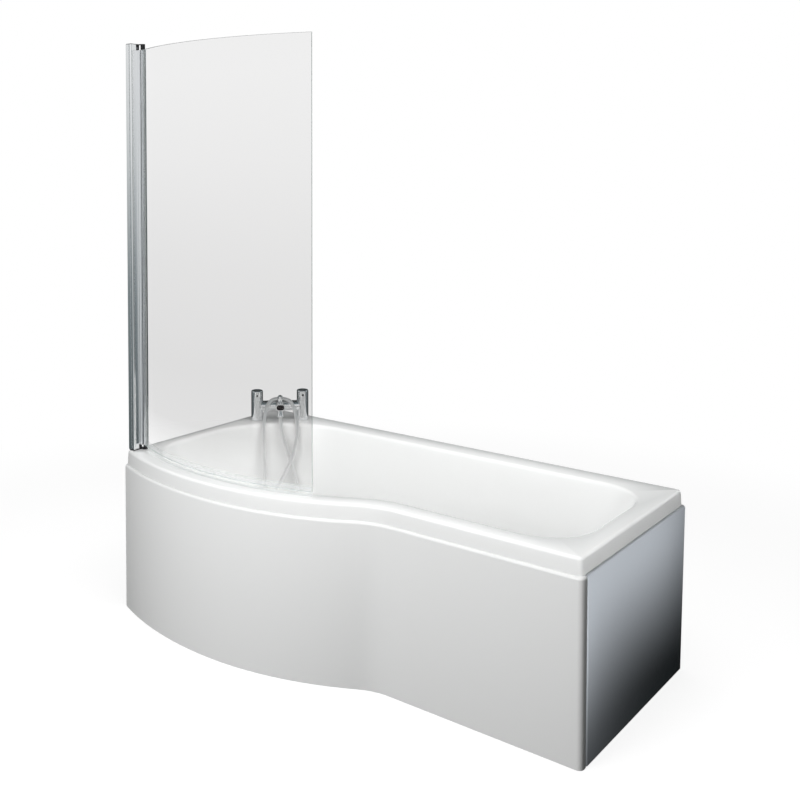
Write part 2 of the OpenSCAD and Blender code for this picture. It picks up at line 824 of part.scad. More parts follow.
module hose_outlet() {
    color("silver") at_outlet() translate([0, 0, -outlet_drop - 6]) difference() {
        cylinder(r = outlet_r, h = outlet_drop + 6 - outlet_in);
        translate([0, 0, -1]) cylinder(r = 4.5, h = outlet_drop);
    }
}

// Fluted cone that clamps the hose to the outlet
module hose_nut() {
    l = hose_nut_l;
    color("silver") at_outlet() translate([0, 0, -outlet_drop - l]) difference() {
        rotate_extrude() polygon([[0, 0], [11.5, 0], [12, 1], [12, 5], [9.6, l - 1], [9, l], [0, l]]);
        translate([0, 0, l - 6.5]) cylinder(r = 8.05, h = 8);
        for (a = [0 : 30 : 330]) rotate(a) translate([13.2, 0, 4]) cylinder(r = 2, h = l, $fn = 16);
    }
}

// Hose route in the mixer frame: [along the bridge, towards the bath, height above the floor], hand-chosen
hose_route = [
    [4, 86, 528], [21, 98, 474], [45, 112, 396], [61, 123, 331], [63, 130, 301], [54, 135, 274],
    [32, 139, 254], [0, 140, 246], [-31, 138, 254], [-52, 134, 275], [-61, 129, 301],
    [-61, 119, 358], [-64, 109, 415], [-67, 99, 475], [-67, 90, 520], [-64, 70, 567],
    [-55, 44, 609], [-48, 31, 625], [-36, 18, 636], [-20, 9, 640.5], [0, 6, 642], [20, 9, 640.5],
    [36, 18, 636], [48, 31, 625], [60, 58, 588], [65, 86, 545], [63, 97, 515], [48, 119, 454],
    [34, 129, 420], [-2, 144, 353], [-37, 157, 285], [-61, 176, 225], [-67, 191, 202],
    [-68, 210, 187], [-66, 232, 178.5]
];
hose_end = [-61, 262, 177];
nut_low = outlet_drop + hose_nut_l;
nut_exit = [0, -outlet_y + nut_low * sin(outlet_tilt), rim_z + spout_z - nut_low * cos(outlet_tilt)];
nut_dir = [0, sin(outlet_tilt), -cos(outlet_tilt)];
handset_turn = 8;
end_dir = [sin(handset_turn), cos(handset_turn), 0];
hose_points = concat([nut_exit, nut_exit + 14 * nut_dir], hose_route, [hose_end - 14 * end_dir, hose_end]);

function curve_at(p, i, t) =
    let (
        n = len(p) - 1,
        a = p[max(i - 1, 0)],
        b = p[i],
        c = p[min(i + 1, n)],
        d = p[min(i + 2, n)]
    )
    0.5 * (2 * b + (c - a) * t + (2 * a - 5 * b + 4 * c - d) * t * t + (3 * b - a - 3 * c + d) * t * t * t);

fine = 8;
fine_curve = concat(
    [for (i = [0 : len(hose_points) - 2], k = [0 : fine - 1]) curve_at(hose_points, i, k / fine)],
    [hose_end]
);

function running(p) = let (d = [for (i = [1 : len(p) - 1]) norm(p[i] - p[i - 1])])
    [for (i = 0, s = 0; i < len(p); s = s + (i < len(d) ? d[i] : 0), i = i + 1) s];

curve_s = running(fine_curve);
hose_length = curve_s[len(curve_s) - 1];
hose_rings = 62;
hose_sides = 10;

function point_at(s) = let (
        i = max([for (k = [0 : len(curve_s) - 2]) curve_s[k] <= s ? k : 0]),
        t = (s - curve_s[i]) / (curve_s[i + 1] - curve_s[i])
    )
    fine_curve[i] + t * (fine_curve[i + 1] - fine_curve[i]);

ring_at = [for (k = [0 : hose_rings - 1]) k * hose_length / (hose_rings - 1)];
ring_c = [for (s = ring_at) point_at(s)];

function unit(v) = v / norm(v);

ring_t = [for (k = [0 : hose_rings - 1])
    k == 0 ? nut_dir : k == hose_rings - 1 ? end_dir : unit(ring_c[k + 1] - ring_c[k - 1])];

// Side vectors carried along the curve without twist
function carry(k, u) = k >= hose_rings ? [] :
    let (v = unit(u - (u * ring_t[k]) * ring_t[k])) concat([v], carry(k + 1, v));

ring_u = carry(0, [1, 0, 0]);

module hose() {
    r = hose_d / 2 / cos(180 / hose_sides);
    points = [for (k = [0 : hose_rings - 1], j = [0 : hose_sides - 1])
        let (v = cross(ring_t[k], ring_u[k]), a = 360 * j / hose_sides)
        ring_c[k] + r * (cos(a) * ring_u[k] + sin(a) * v)];
    first = [for (j = [hose_sides - 1 : -1 : 0]) j];
    last = [for (j = [0 : hose_sides - 1]) (hose_rings - 1) * hose_sides + j];
    color("silver") from_wall(mixer_x, mixer_back, 0) rotate(mixer_angle) mirror([0, 1, 0])
        polyhedron(points, concat(skin_faces(hose_rings, hose_sides), [first], [last]));
}

// Handset frame: x runs from the hose to the head, z up from the basin floor
module at_handset() from_wall(mixer_x, mixer_back, floor_z) rotate(mixer_angle)
    translate([hose_end[0], -hose_end[1], 0]) rotate(handset_turn - 90) children();

handle_lift = hose_end[2] - floor_z;
end_nut_l = 20;
head_r = 40;
head_x = 190;
face_t = 3;

module hose_end_nut() {
    color("silver") at_handset() translate([0, 0, handle_lift]) rotate([0, 90, 0]) difference() {
        rotate_extrude() polygon([[0, 0], [8, 0], [10, 3], [10, end_nut_l], [0, end_nut_l]]);
        translate([0, 0, end_nut_l - 9]) cylinder(r = 7.05, h = 20);
    }
}

module handset_body() {
    x0 = end_nut_l + 0.2;
    color("silver") at_handset() difference() {
        union() {
            translate([x0, 0, handle_lift]) rotate([0, 90, 0]) rotate_extrude()
                polygon([[0, -8], [7, -8], [7, 0], [10, 0], [10.5, 20], [12, 90], [11, head_x - x0],
                         [0, head_x - x0]]);
            translate([head_x, 0, slip + 1]) rotate_extrude() union() {
                square([head_r - 6, 22]);
                translate([head_r - 6, 6]) circle(6);
                polygon([[head_r - 6, 6], [head_r, 6], [head_r - 12, 22], [head_r - 12, 6]]);
            }
        }
        translate([head_x, 0, 0]) cylinder(r = head_r - 8, h = 9);
        translate([-20, 0, handle_lift]) rotate([0, 90, 0]) cylinder(r = 4, h = head_x);
    }
}

module handset_face() {
    color("gray") at_handset() translate([head_x, 0, slip]) difference() {
        cylinder(r = head_r - 8.1, h = face_t);
        for (q = [8, 16, 24], a = [0 : 45 : 315]) rotate(a) translate([q, 0, -1])
            cylinder(r = 1, h = 9, $fn = 16);
    }
}

// Screen
glass_z = rim_z + glass_lift;
screen_c = [wall_x + screen_peak_x, front_y + screen_inset + screen_r];

function screen_y(x) = screen_c[1] - sqrt(pow(screen_r, 2) - pow(x - screen_c[0], 2));
function screen_a(x) = atan2(screen_y(x) - screen_c[1], x - screen_c[0]);

pivot_x = wall_x + hinge_x;
pivot_y = screen_y(pivot_x);
channel_y = pivot_y - hinge_set;
rail_a = screen_a(pivot_x) + 90;
foot_t = 4;
cap_t = 2;
knob_cap_h = 20;
block_r = 8;
block_h = 15;
column_z0 = rim_z + foot_t;
column_z1 = rim_z + channel_h - cap_t;
rail_z0 = rim_z + block_h + step;
rail_z1 = column_z1 + cap_t - knob_cap_h - step;

module at_channel(z) translate([wall_x, channel_y, z]) children();

module at_pivot(z) translate([pivot_x, pivot_y, z]) children();

module wall_channel() {
    color("silver") difference() {
        at_channel(column_z0) linear_extrude(column_z1 - column_z0) difference() {
            union() {
                translate([2, -channel_w / 2]) square([channel_d - 2, channel_w]);
                translate([0, 2 - channel_w / 2]) square([3, channel_w - 4]);
                for (y = [2 - channel_w / 2, channel_w / 2 - 2]) translate([2, y]) circle(2);
            }
            translate([channel_t, channel_t - channel_w / 2]) square([channel_d, channel_w - 2 * channel_t]);
        }
        for (k = [-1, 0, 1]) at_channel(rim_z + channel_h / 2 + k * channel_hole_gap) translate([-1, 0, 0])
            rotate([0, 90, 0]) cylinder(r = channel_hole_r, h = 10);
    }
}

// Extruded post: hollow tongue in the channel, round-edged face and a nose that covers the spine
module hinge_post() {
    tongue = channel_w - 2 * channel_t - 2 * slip;
    color("silver") {
        at_channel(column_z0) linear_extrude(column_z1 - column_z0) difference() {
            union() {
                bar_outline(channel_d + slip, post_d, channel_w, 4);
                translate([4, -tongue / 2]) square([channel_d, tongue]);
            }
            translate([6, 2 - tongue / 2]) square([channel_d - 4, tongue - 4]);
        }
        at_pivot(rail_z0) linear_extrude(rail_z1 - rail_z0) difference() {
            union() {
                translate([4 - hinge_x + channel_d, 1 - hinge_set / 2]) square([10, 14]);
                translate([-10, -1]) circle(9);
            }
            circle(d = spine_d + 2 * step);
            translate([-8, -20]) square([20, 20]);
        }
    }
}

module post_foot() {
    color("black") difference() {
        union() {
            at_channel(rim_z) linear_extrude(foot_t) bar_outline(1, post_d - 0.5, channel_w - 1.5, 4);
            at_pivot(rim_z) cylinder(r = block_r, h = block_h);
            at_pivot(rim_z) translate([-20, -8, 0]) cube([20, 12, foot_t]);
        }
        at_pivot(column_z0) cylinder(d = pin_d, h = block_h);
    }
}

// Cap over channel and post with the black bearing that holds the top pin
module post_cap() {
    color("black") difference() {
        union() {
            at_channel(column_z1) linear_extrude(cap_t) bar_outline(0.5, post_d, channel_w - 1, 3);
            at_pivot(rail_z1 + step) cylinder(r = block_r, h = knob_cap_h);
            at_pivot(column_z1) translate([-20, -8, 0]) cube([20, 12, cap_t]);
        }
        at_pivot(rail_z1) cylinder(d = pin_d, h = knob_cap_h - 3);
    }
}

module post_screw() {
    color("dimgray") at_channel(column_z1 - 12) translate([post_d, channel_w / 2 - 11, 0])
        rotate([0, 90, 0]) cylinder(r = 4, h = 0.4);
}

pin_reach = 24;

module pivot_pins() {
    color("gainsboro") {
        at_pivot(column_z0) cylinder(d = pin_d, h = rail_z0 + pin_reach - column_z0);
        at_pivot(rail_z1 - pin_reach) cylinder(d = pin_d, h = pin_reach + knob_cap_h - 3);
    }
}

seat_l = 12;
cheek_t = 11;
rail_x1 = hinge_x + cheek_l * cos(rail_a);
glass_x0 = hinge_x + seat_l * cos(rail_a);

// Turning rail: round spine on the pins and two cheeks that hold the glass
module hinge_rail() {
    color("silver") difference() {
        at_pivot(rail_z0) rotate(rail_a) linear_extrude(rail_z1 - rail_z0) difference() {
            union() {
                circle(d = spine_d);
                translate([0, -cheek_t / 2]) square([cheek_l, cheek_t]);
            }
            translate([seat_l - slip, -glass_t / 2 - slip]) square([cheek_l, glass_t + 2 * slip]);
        }
        at_pivot(rail_z0 - 1) cylinder(d = pin_d + 2 * pin_gap, h = pin_reach + 2);
        at_pivot(rail_z1 - pin_reach - 1) cylinder(d = pin_d + 2 * pin_gap, h = pin_reach + 2);
    }
}

// Section swept along the glass arc between two distances from the wall
module sweep_screen(x0, x1) {
    a0 = screen_a(wall_x + x0);
    a1 = screen_a(wall_x + x1);
    translate(screen_c) rotate(a0) rotate_extrude(angle = a1 - a0, $fn = 240)
        translate([screen_r, 0]) children();
}

module glass() {
    color("lightcyan", 0.35) sweep_screen(glass_x0, screen_end_x)
        translate([-glass_t / 2, glass_z]) square([glass_t, glass_h]);
}

// Clear strip that closes the line between rail and glass
module hinge_seal() {
    z0 = glass_z + 20;
    color("gainsboro") sweep_screen(rail_x1 + 3, rail_x1 + 10)
        translate([glass_t / 2, z0]) square([1.5, rail_z1 - z0]);
}

// Clear seal clipped on the lower edge, with a fin just above the deck
module bottom_seal() {
    t = 1.2;
    h = 18;
    z0 = rim_z + seal_gap;
    color("gainsboro") sweep_screen(rail_x1 + 3, screen_end_x) union() {
        translate([-glass_t / 2 - t, glass_z - t]) square([glass_t + 2 * t, t]);
        for (x = [-glass_t / 2 - t, glass_t / 2]) translate([x, glass_z - t]) square([t, h]);
        translate([-t / 2, z0]) square([t, glass_z - z0]);
        translate([0, z0]) square([6, t]);
    }
}

bath_shell();
baseboard();
rim_battens();
cradle_shower();
cradle_middle();
cradle_foot();
leg_studs();
leg_nuts();
leg_pads();
cradle_screws();
wall_brackets();
front_panel();
end_panel();
panel_battens();
waste_flange();
waste_seal();
waste_body();
waste_nut();
waste_plug();
plug_stem();
trap_body();
trap_nut();
mixer_body();
pillar_left();
pillar_right();
pillar_gaskets();
inlet_tails();
deck_washers();
deck_nuts();
cartridge_left();
cartridge_right();
spindle_left();
spindle_right();
handle_left();
handle_right();
index_left();
index_right();
diverter_knob();
diverter_rod();
spout_insert();
hose_outlet();
hose_nut();
hose();
hose_end_nut();
handset_body();
handset_face();
wall_channel();
hinge_post();
post_foot();
post_cap();
post_screw();
pivot_pins();
hinge_rail();
hinge_seal();
glass();
bottom_seal();
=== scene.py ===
# B-shaped shower bath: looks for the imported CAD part. Metres, the part's own frame.
import json
import math

import bpy
from mathutils import Matrix, Vector

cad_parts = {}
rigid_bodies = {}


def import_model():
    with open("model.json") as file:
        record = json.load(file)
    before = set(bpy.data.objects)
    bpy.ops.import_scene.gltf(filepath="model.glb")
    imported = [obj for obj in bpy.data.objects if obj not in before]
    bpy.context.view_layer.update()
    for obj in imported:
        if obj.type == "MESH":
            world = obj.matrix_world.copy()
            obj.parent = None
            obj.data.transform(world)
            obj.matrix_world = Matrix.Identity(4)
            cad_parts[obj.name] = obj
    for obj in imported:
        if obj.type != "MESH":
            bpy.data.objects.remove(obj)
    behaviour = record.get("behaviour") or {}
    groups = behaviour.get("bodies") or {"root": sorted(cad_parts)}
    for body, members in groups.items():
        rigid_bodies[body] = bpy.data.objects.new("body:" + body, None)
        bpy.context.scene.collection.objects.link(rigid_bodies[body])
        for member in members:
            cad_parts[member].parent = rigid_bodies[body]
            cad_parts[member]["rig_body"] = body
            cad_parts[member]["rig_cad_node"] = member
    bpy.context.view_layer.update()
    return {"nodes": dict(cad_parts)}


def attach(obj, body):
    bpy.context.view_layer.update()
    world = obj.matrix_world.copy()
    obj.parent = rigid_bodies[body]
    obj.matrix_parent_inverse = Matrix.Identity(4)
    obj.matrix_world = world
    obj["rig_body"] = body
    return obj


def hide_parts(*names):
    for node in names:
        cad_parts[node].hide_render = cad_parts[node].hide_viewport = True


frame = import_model()
nodes = frame["nodes"]
print("loaded", len(nodes), "CAD nodes")

# camera: the photograph's own point of view
cameraView = {
    "place": (1.988, -2.767, 1.592),
    "yaw": -38.98,
    "pitch": 2.29,
    "roll": -0.04,
    "lens": 46.98,
    "sensor": 36,
    "shiftX": 0.10,
    "shiftY": -0.25,
    "near": 0.05,
    "far": 60,
}


def addCamera(view):
    yaw, pitch, roll = (math.radians(view[k]) for k in ("yaw", "pitch", "roll"))
    level = math.cos(pitch)
    ahead = Vector((math.sin(yaw) * level, math.cos(yaw) * level, -math.sin(pitch)))
    side = Vector((math.cos(yaw), -math.sin(yaw), 0))
    up = side.cross(ahead)
    right = math.cos(roll) * side + math.sin(roll) * up
    top = -math.sin(roll) * side + math.cos(roll) * up
    turn = Matrix((right, top, -ahead)).transposed().to_4x4()
    bpy.ops.object.camera_add(location=view["place"])
    camera = bpy.context.object
    camera.name = "photoCamera"
    camera.matrix_world = Matrix.Translation(view["place"]) @ turn
    camera.data.lens = view["lens"]
    camera.data.sensor_width = view["sensor"]
    camera.data.shift_x = view["shiftX"]
    camera.data.shift_y = view["shiftY"]
    camera.data.clip_start = view["near"]
    camera.data.clip_end = view["far"]
    bpy.context.scene.camera = camera


addCamera(cameraView)
print("camera placed")

# hose: points in the mixer's frame [along the bridge, towards the bath, height], in mm
hoseSettings = {
    "diameter": 0.014,
    "length": 1.514,
    "route": [
        (4, 86, 528), (21, 98, 474), (45, 112, 396), (61, 123, 331), (63, 130, 301), (54, 135, 274),
        (32, 139, 254), (0, 140, 246), (-31, 138, 254), (-52, 134, 275), (-61, 129, 301),
        (-61, 119, 358), (-64, 109, 415), (-67, 99, 475), (-67, 90, 520), (-64, 70, 567),
        (-55, 44, 609), (-48, 31, 625), (-36, 18, 636), (-20, 9, 640.5), (0, 6, 642), (20, 9, 640.5),
        (36, 18, 636), (48, 31, 625), (60, 58, 588), (65, 86, 545), (63, 97, 515), (48, 119, 454),
        (34, 129, 420), (-2, 144, 353), (-37, 157, 285), (-61, 176, 225), (-67, 191, 202),
        (-68, 210, 187), (-66, 232, 178.5),
    ],
    "end": (-61, 262, 177),
    "endTurn": 8,
    "nutExit": (0, 67.094, 582.329),
    "nutTilt": 15,
    "lead": 14,
    "mixerMiddle": (-0.716, 0.321),
    "mixerAngle": 43,
    "stepsPerKnot": 8,
    "roundness": 4,
    "handleParts": 6,  # a handle is a sixth of the way between the knot's neighbours
}


def fromMixer(point):
    u, s, z = point
    a = math.radians(hoseSettings["mixerAngle"])
    x = hoseSettings["mixerMiddle"][0] + (u * math.cos(a) + s * math.sin(a)) / 1000
    y = hoseSettings["mixerMiddle"][1] + (u * math.sin(a) - s * math.cos(a)) / 1000
    return Vector((x, y, z / 1000))


def hosePoints(h):
    tilt, turn, lead = math.radians(h["nutTilt"]), math.radians(h["endTurn"]), h["lead"]
    start, end = Vector(h["nutExit"]), Vector(h["end"])
    second = start + lead * Vector((0, math.sin(tilt), -math.cos(tilt)))
    beforeEnd = end - lead * Vector((math.sin(turn), math.cos(turn), 0))
    return [fromMixer(p) for p in [start, second] + h["route"] + [beforeEnd, end]]


def addHose(h):
    points = hosePoints(h)
    curve = bpy.data.curves.new("showerHose", "CURVE")
    curve.dimensions = "3D"
    curve.resolution_u = h["stepsPerKnot"]
    curve.bevel_depth = 1.0  # times each knot's radius, which also sets the curve's box
    curve.bevel_resolution = h["roundness"]
    curve.use_fill_caps = True
    spline = curve.splines.new("BEZIER")
    spline.bezier_points.add(len(points) - 1)
    for i, p in enumerate(points):
        before, after = points[max(i - 1, 0)], points[min(i + 1, len(points) - 1)]
        reach = (after - before) / h["handleParts"]
        knot = spline.bezier_points[i]
        knot.handle_left_type = knot.handle_right_type = "FREE"
        knot.co, knot.handle_left, knot.handle_right = p, p - reach, p + reach
        knot.radius = h["diameter"] / 2
    hose = bpy.data.objects.new("showerHose", curve)
    bpy.context.scene.collection.objects.link(hose)
    return hose, points[0]


hose, hoseExit = addHose(hoseSettings)
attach(hose, "bath")
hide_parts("hose")
print("hose laid")


# materials: what several finishes share. Each vary is in shares of a finish's own roughness
surfaceMarks = {
    "coatRough": 0.03,
    "noiseSpan": (0.35, 0.65),
    "noiseDetail": 3.0,
    "acrylicVary": 0.2,
    "metalVary": (0.7, 1.4),
    "plasticVary": (0.85, 1.15),
    "clearVary": (0.8, 1.3),
    "clearSize": 6.0,
    "shine": 0.5,
    "acrylicDepth": 0.0004,
    "plasticDepth": 0.0003,
    "timberDepth": 0.001,
}


def startMaterial(name, color, rough, metal=0.0, coat=0.0):
    material = bpy.data.materials.new(name)
    material.use_nodes = True
    tree = material.node_tree
    surface = tree.nodes["Principled BSDF"]
    surface.inputs["Base Color"].default_value = (*color, 1)
    surface.inputs["Roughness"].default_value = rough
    surface.inputs["Metallic"].default_value = metal
    surface.inputs["Coat Weight"].default_value = coat
    surface.inputs["Coat Roughness"].default_value = surfaceMarks["coatRough"]
    return material, tree, surface


def addNode(tree, kind, **values):
    # a value goes into the input of that name, or else into the node's own setting
    node = tree.nodes.new(kind)
    for key, value in values.items():
        if key in node.inputs:
            node.inputs[key].default_value = value
        else:
            setattr(node, key, value)
    return node


def addPlace(tree, scale):
    place = addNode(tree, "ShaderNodeTexCoord")
    mapping = addNode(tree, "ShaderNodeMapping")
    mapping.inputs["Scale"].default_value = scale
    tree.links.new(place.outputs["Object"], mapping.inputs["Vector"])
    return mapping


def addSpan(tree, value, fromSpan=(0.0, 1.0), toSpan=(0.0, 1.0), shape="LINEAR"):
    # carries a value from one span over to another
    span = addNode(tree, "ShaderNodeMapRange", interpolation_type=shape)
    span.inputs["From Min"].default_value, span.inputs["From Max"].default_value = fromSpan
    span.inputs["To Min"].default_value, span.inputs["To Max"].default_value = toSpan
    tree.links.new(value, span.inputs["Value"])
    return span.outputs[0]


def addMath(tree, kind, first, second):
    # second is a number or another node's output
    step = addNode(tree, "ShaderNodeMath", operation=kind)
    tree.links.new(first, step.inputs[0])
    if isinstance(second, float):
        step.inputs[1].default_value = second
    else:
        tree.links.new(second, step.inputs[1])
    return step.outputs[0]


def splitUp(tree, vector):
    parts = addNode(tree, "ShaderNodeSeparateXYZ")
    tree.links.new(vector, parts.inputs[0])
    return parts.outputs


def spreadRoughness(tree, surface, look, vary, size):
    # uneven sheen: noise drives the roughness between two shares of the plain one
    mapping = addPlace(tree, look.get("stretch", (1, 1, 1)))
    noise = addNode(tree, "ShaderNodeTexNoise", Scale=size, Detail=surfaceMarks["noiseDetail"])
    tree.links.new(mapping.outputs[0], noise.inputs["Vector"])
    lowHigh = [look["rough"] * share for share in vary]
    spread = addSpan(tree, noise.outputs[0], surfaceMarks["noiseSpan"], lowHigh)
    tree.links.new(spread, surface.inputs["Roughness"])
    return noise


def addBump(tree, surface, height, strength, distance):
    bump = addNode(tree, "ShaderNodeBump", Strength=strength, Distance=distance)
    tree.links.new(height, bump.inputs["Height"])
    tree.links.new(bump.outputs[0], surface.inputs["Normal"])


def mixColors(tree, surface, factor, lowHigh, span=(0.0, 1.0)):
    ramp = addNode(tree, "ShaderNodeValToRGB")
    for element, color, position in zip(ramp.color_ramp.elements, lowHigh, span):
        element.color = (*color, 1)
        element.position = position
    tree.links.new(factor, ramp.inputs[0])
    tree.links.new(ramp.outputs[0], surface.inputs["Base Color"])


def fillRamp(ramp, stops):
    elements = ramp.color_ramp.elements
    while len(elements) > 1:
        elements.remove(elements[-1])
    elements[0].position = stops[0][0]
    elements[0].color = (*stops[0][1], 1)
    for position, color in stops[1:]:
        element = elements.new(position)
        element.color = (*color, 1)


def makeAcrylic(look):
    # cast acrylic: glossy white with a very faint orange peel
    material, tree, surface = startMaterial(
        look["name"], look["color"], look["rough"], coat=look["coat"])
    vary = look.get("vary", surfaceMarks["acrylicVary"])
    noise = spreadRoughness(tree, surface, look, (1 - vary, 1 + vary), look["size"])
    surface.inputs["Specular IOR Level"].default_value = look.get("shine", surfaceMarks["shine"])
    addBump(tree, surface, noise.outputs[0], look["peel"], surfaceMarks["acrylicDepth"])
    return material


def makeMetal(look):
    material, tree, surface = startMaterial(
        look["name"], look["color"], look["rough"], metal=look.get("metal", 1.0))
    spreadRoughness(tree, surface, look, surfaceMarks["metalVary"], look["size"])
    return material


def makePlastic(look):
    material, tree, surface = startMaterial(look["name"], look["color"], look["rough"])
    noise = spreadRoughness(tree, surface, look, surfaceMarks["plasticVary"], look["grain"])
    surface.inputs["Specular IOR Level"].default_value = look.get("shine", surfaceMarks["shine"])
    addBump(tree, surface, noise.outputs[0], look["bump"], surfaceMarks["plasticDepth"])
    return material


def makeHoseMetal(look):
    # close-wound spiral: bands run round the hose, along its own UV map
    material, tree, surface = startMaterial(
        look["name"], look["color"], look["rough"], metal=look["metal"])
    place = addNode(tree, "ShaderNodeTexCoord")
    parts = splitUp(tree, place.outputs["UV"])
    turns = addMath(tree, "MULTIPLY", parts[0], look["turns"])
    lead = addMath(tree, "ADD", turns, parts[1])
    wave = addMath(tree, "PINGPONG", lead, 0.5)
    ridge = addMath(tree, "MULTIPLY", wave, 2.0)  # 0 in the groove, 1 on the crest
    # the darker grey in the groove is painted shade
    mixColors(tree, surface, ridge, (look["groove"], look["color"]), look["grooveSpan"])
    addBump(tree, surface, ridge, look["bump"], look["depth"])
    return material


def makeWood(look):
    # grain drawn out along x
    material, tree, surface = startMaterial(look["name"], look["dark"], look["rough"])
    mapping = addPlace(tree, look["stretch"])
    noise = addNode(
        tree, "ShaderNodeTexNoise", Scale=1.0, Detail=look["detail"], Distortion=look["twist"])
    tree.links.new(mapping.outputs[0], noise.inputs["Vector"])
    darkLight = (look["dark"], look["light"])
    mixColors(tree, surface, noise.outputs[0], darkLight, surfaceMarks["noiseSpan"])
    addBump(tree, surface, noise.outputs[0], look["bump"], surfaceMarks["timberDepth"])
    return material


def makeBoard(look):
    # chipboard: flakes of several tones
    material, tree, surface = startMaterial(look["name"], look["dark"], look["rough"])
    mapping = addPlace(tree, look["stretch"])
    flakes = addNode(tree, "ShaderNodeTexVoronoi", Scale=look["flakes"])
    tree.links.new(mapping.outputs[0], flakes.inputs["Vector"])
    tone = addNode(tree, "ShaderNodeSeparateColor")
    tree.links.new(flakes.outputs["Color"], tone.inputs[0])
    mixColors(tree, surface, tone.outputs[0], (look["dark"], look["light"]))
    addBump(tree, surface, flakes.outputs["Distance"], look["bump"], surfaceMarks["timberDepth"])
    return material


def makeClear(look):
    # see-through sheet: mostly straight through, with its gloss on top
    material, tree, surface = startMaterial(look["name"], look["color"], look["rough"])
    spreadRoughness(tree, surface, look, surfaceMarks["clearVary"], surfaceMarks["clearSize"])
    surface.inputs["Alpha"].default_value = look["alpha"]
    if "paintedShadeTint" in look:
        # painted shade: a dark veil graded by height takes over from the plain alpha: stops of
        # (share of the full height, alpha)
        place = addNode(tree, "ShaderNodeTexCoord")
        height = splitUp(tree, place.outputs["Object"])[2]
        ramp = addNode(tree, "ShaderNodeValToRGB")
        fillRamp(ramp, [(at, (alpha, alpha, alpha)) for at, alpha in look["paintedShadeTint"]])
        tree.links.new(addSpan(tree, height, (0.0, look["full"])), ramp.inputs[0])
        tree.links.new(ramp.outputs[0], surface.inputs["Alpha"])
    surface.inputs["Specular IOR Level"].default_value = look["shine"]
    material.blend_method = "BLEND"
    return material


finishes = {
    "tubAcrylic": makeAcrylic({
        "name": "tubAcrylic", "color": (0.84, 0.845, 0.84), "rough": 0.16, "coat": 0.25,
        "stretch": (1, 1, 1), "size": 40.0, "peel": 0.02}),
    "panelAcrylic": makeAcrylic({
        "name": "panelAcrylic", "color": (0.83, 0.835, 0.83), "rough": 0.22, "coat": 0.15,
        "stretch": (1, 1, 1), "size": 50.0, "peel": 0.02}),
    "endAcrylic": makeAcrylic({
        "name": "endAcrylic", "color": (0.78, 0.79, 0.80), "rough": 0.3, "coat": 0.0,
        "stretch": (1, 0.6, 14), "size": 2.0, "peel": 0.003, "vary": 0.04, "shine": 0.15}),
    "chrome": makeMetal({
        "name": "chrome", "color": (0.90, 0.91, 0.92), "rough": 0.05, "metal": 0.94,
        "stretch": (1, 1, 1), "size": 20.0}),
    "columnChrome": makeMetal({
        "name": "columnChrome", "color": (0.82, 0.83, 0.84), "rough": 0.10,
        "stretch": (1, 1, 0.05), "size": 90.0}),
    "hoseMetal": makeHoseMetal({
        # the hose's groove colour is painted shade
        "name": "hoseMetal", "color": (0.93, 0.93, 0.93), "groove": (0.52, 0.52, 0.52),
        "rough": 0.3, "metal": 0.7, "turns": 420.0, "grooveSpan": (0.05, 0.3),
        "bump": 0.6, "depth": 0.0006}),
    "zincSteel": makeMetal({
        "name": "zincSteel", "color": (0.52, 0.54, 0.56), "rough": 0.38,
        "stretch": (1, 1, 1), "size": 60.0}),
    "brass": makeMetal({
        "name": "brass", "color": (0.72, 0.53, 0.25), "rough": 0.25,
        "stretch": (1, 1, 1), "size": 80.0}),
    "brushedSteel": makeMetal({
        "name": "brushedSteel", "color": (0.62, 0.63, 0.64), "rough": 0.25,
        "stretch": (1, 1, 0.1), "size": 120.0}),
    "blackPlastic": makePlastic({
        "name": "blackPlastic", "color": (0.012, 0.012, 0.013), "rough": 0.42,
        "grain": 300.0, "bump": 0.1, "shine": 0.25}),
    "blackRubber": makePlastic({
        "name": "blackRubber", "color": (0.02, 0.02, 0.02), "rough": 0.7,
        "grain": 200.0, "bump": 0.2}),
    "greyPlastic": makePlastic({
        "name": "greyPlastic", "color": (0.10, 0.10, 0.11), "rough": 0.5,
        "grain": 150.0, "bump": 0.2}),
    "whitePlastic": makePlastic({
        "name": "whitePlastic", "color": (0.78, 0.78, 0.77), "rough": 0.35,
        "grain": 120.0, "bump": 0.1}),
    "nozzlePlate": makePlastic({
        "name": "nozzlePlate", "color": (0.008, 0.008, 0.009), "rough": 0.5,
        "grain": 160.0, "bump": 0.1, "shine": 0.12}),
    "softwood": makeWood({
        "name": "softwood", "dark": (0.45, 0.28, 0.13), "light": (0.68, 0.48, 0.27),
        "rough": 0.7, "stretch": (5, 60, 60), "detail": 6.0, "twist": 1.2, "bump": 0.25}),
    "chipboard": makeBoard({
        "name": "chipboard", "dark": (0.34, 0.24, 0.14), "light": (0.60, 0.46, 0.30),
        "rough": 0.85, "stretch": (1, 1, 1.6), "flakes": 160.0, "bump": 0.4}),
    # faint dark tint of the glass, graded by height into painted shade: darkest a little above the
    # rim, lighter towards the top
    "safetyGlass": makeClear({
        "name": "safetyGlass", "color": (0.03, 0.02, 0.018), "rough": 0.03, "alpha": 0.11,
        "shine": 0.2, "full": 2.1, "paintedShadeTint": [
            (0.28, 0.035), (0.34, 0.14), (0.43, 0.15),
            (0.59, 0.128), (0.757, 0.093), (0.89, 0.075)]}),
    "glassEdge": makeClear({
        "name": "glassEdge", "color": (0.30, 0.36, 0.34), "rough": 0.08, "alpha": 0.85,
        "shine": 0.5}),
    "clearSeal": makeClear({
        "name": "clearSeal", "color": (0.80, 0.82, 0.82), "rough": 0.2, "alpha": 0.16,
        "shine": 0.3}),
}
print("finishes mixed", len(finishes))


# CAD nodes that show: a merged copy of each, smoothed by angle
weldDistance = 0.00001


def onlySelect(piece):
    bpy.ops.object.select_all(action="DESELECT")
    piece.select_set(True)
    bpy.context.view_layer.objects.active = piece


def giveFinish(piece, finish):
    piece.data.materials.clear()
    piece.data.materials.append(finishes[finish])


